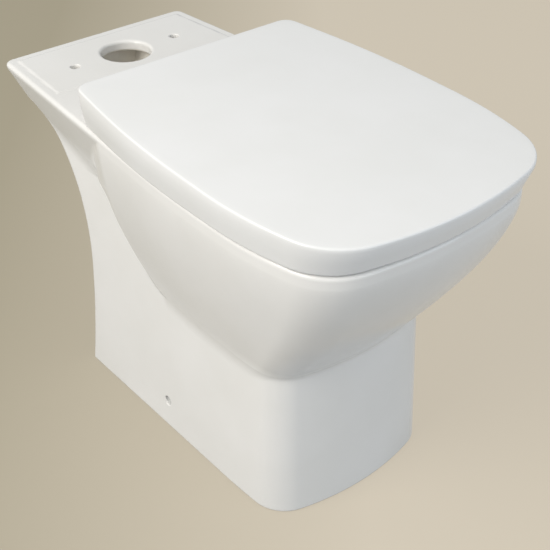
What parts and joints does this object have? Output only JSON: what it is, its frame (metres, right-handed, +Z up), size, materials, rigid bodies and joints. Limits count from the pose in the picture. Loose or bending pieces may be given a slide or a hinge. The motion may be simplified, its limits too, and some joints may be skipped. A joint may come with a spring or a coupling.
{
  "type": "floor standing toilet pan",
  "caption": "Close coupled floor standing toilet pan with a squared bowl on a skirted pedestal, a rear deck for a cistern, and a soft closing seat ring and wrap-over lid.",
  "frame": {"origin": "on the floor, under the middle of the whole object's bounding box", "axes": "+Z up, -Y out of the front of the pan, +Y towards the wall, +X to the sitter's left"},
  "size_m": [0.348, 0.655, 0.4494],
  "materials": {
    "glazed_ceramic": "glossy white glaze",
    "seat_plastic": "glossy white moulded resin",
    "chrome": "polished",
    "steel": "zinc plated",
    "pad_rubber": "matt pale rubber",
    "fixing_plastic": "white nylon",
    "hinge_plastic": "grey acetal"
  },
  "bodies": {
    "pan": {"pan_rim": "glazed_ceramic", "pan_bowl": "glazed_ceramic", "pan_foot": "glazed_ceramic", "pan_trap": "glazed_ceramic", "bracket_nuts": "steel", "side_screws": "steel", "side_screw_sleeves": "fixing_plastic", "side_screw_caps": "fixing_plastic", "hinge_post_right": "chrome", "hinge_post_left": "chrome", "hinge_pin_right": "steel", "hinge_pin_left": "steel", "hinge_rosette_right": "chrome", "hinge_rosette_left": "chrome", "hinge_gasket_right": "pad_rubber", "hinge_gasket_left": "pad_rubber", "hinge_stud_right": "steel", "hinge_stud_left": "steel", "hinge_bush_right": "pad_rubber", "hinge_bush_left": "pad_rubber", "hinge_washer_right": "steel", "hinge_washer_left": "steel", "hinge_wing_nut_right": "fixing_plastic", "hinge_wing_nut_left": "fixing_plastic", "floor_bracket_right": "steel", "floor_bracket_left": "steel"},
    "seat": {"seat_ring": "seat_plastic", "seat_buffers": "pad_rubber", "seat_damper": "hinge_plastic", "seat_bush": "hinge_plastic"},
    "lid": {"seat_lid": "seat_plastic", "lid_buffers": "pad_rubber", "lid_damper": "hinge_plastic", "lid_bush": "hinge_plastic"}
  },
  "joints": [
    {"name": "seat_hinge", "type": "hinge", "parent": "pan", "child": "seat", "pos_m": [0, 0.128, 0.4305], "axis": [-1, 0, 0], "range_deg": [0, 92]},
    {"name": "lid_hinge", "type": "hinge", "parent": "seat", "child": "lid", "pos_m": [0, 0.128, 0.4305], "axis": [-1, 0, 0], "range_deg": [0, 92]}
  ]
}
